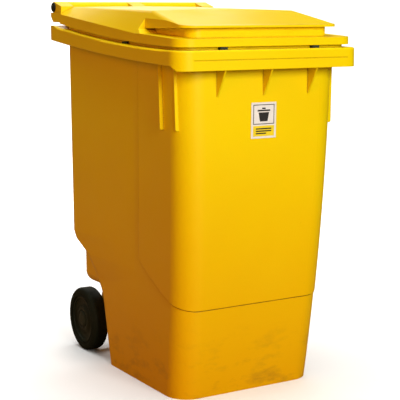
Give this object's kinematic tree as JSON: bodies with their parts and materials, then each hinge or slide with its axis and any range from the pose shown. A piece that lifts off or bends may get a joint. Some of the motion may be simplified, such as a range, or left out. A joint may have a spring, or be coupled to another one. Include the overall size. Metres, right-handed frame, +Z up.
{
  "type": "wheeled bin",
  "caption": "Tall yellow plastic bin with a rear-hinged hipped lid, a deep rim with gussets, rear handle bars and wheels on a cross axle behind its base.",
  "frame": {"origin": "on the floor under the middle of the whole object's plan box", "axes": "+Z up, +Y towards the hinge and wheels at the back, +X across to the right seen from the front"},
  "size_m": [0.58, 0.85, 1.1],
  "materials": {
    "yellow_plastic": "moulded polyethylene, satin",
    "black_plastic": "moulded polypropylene, satin",
    "black_rubber": "matt",
    "tyre_rubber": "matt, scuffed",
    "grey_nylon": "satin",
    "zinc_steel": "zinc plated",
    "spring_steel": "bright wire",
    "label_film": "printed film"
  },
  "bodies": {
    "bin": {"bin_body": "yellow_plastic", "axle": "zinc_steel", "label_plate": "label_film", "axle_washer_left": "zinc_steel", "axle_washer_right": "zinc_steel"},
    "lid": {"lid": "yellow_plastic", "hinge_pin_left": "black_plastic", "hinge_pin_right": "black_plastic", "buffer_front_left": "black_rubber", "buffer_front_right": "black_rubber", "buffer_side_left": "black_rubber", "buffer_side_right": "black_rubber"},
    "wheel_left": {"tyre_left": "tyre_rubber", "wheel_rim_left": "black_plastic", "hub_bush_left": "grey_nylon", "hub_cap_left": "black_plastic", "latch_spring_left": "spring_steel"},
    "latch_left": {"latch_pin_left": "zinc_steel"},
    "wheel_right": {"tyre_right": "tyre_rubber", "wheel_rim_right": "black_plastic", "hub_bush_right": "grey_nylon", "hub_cap_right": "black_plastic", "latch_spring_right": "spring_steel"},
    "latch_right": {"latch_pin_right": "zinc_steel"}
  },
  "joints": [
    {"name": "lid_hinge", "type": "hinge", "parent": "bin", "child": "lid", "pos_m": [0, 0.384, 1.083], "axis": [-1, 0, 0], "range_deg": [0, 235]},
    {"name": "wheel_left_spin", "type": "hinge", "parent": "bin", "child": "wheel_left", "pos_m": [-0.206, 0.325, 0.1], "axis": [-1, 0, 0], "continuous": true},
    {"name": "latch_left_release", "type": "slide", "parent": "wheel_left", "child": "latch_left", "axis": [0, 0, 1], "range_m": [0, 0.0035], "stiffness_N_per_m": 1200, "springref_m": -0.001, "deforming": ["latch_spring_left"]},
    {"name": "wheel_right_spin", "type": "hinge", "parent": "bin", "child": "wheel_right", "pos_m": [0.206, 0.325, 0.1], "axis": [-1, 0, 0], "continuous": true},
    {"name": "latch_right_release", "type": "slide", "parent": "wheel_right", "child": "latch_right", "axis": [0, 0, 1], "range_m": [0, 0.0035], "stiffness_N_per_m": 1200, "springref_m": -0.001, "deforming": ["latch_spring_right"]}
  ]
}
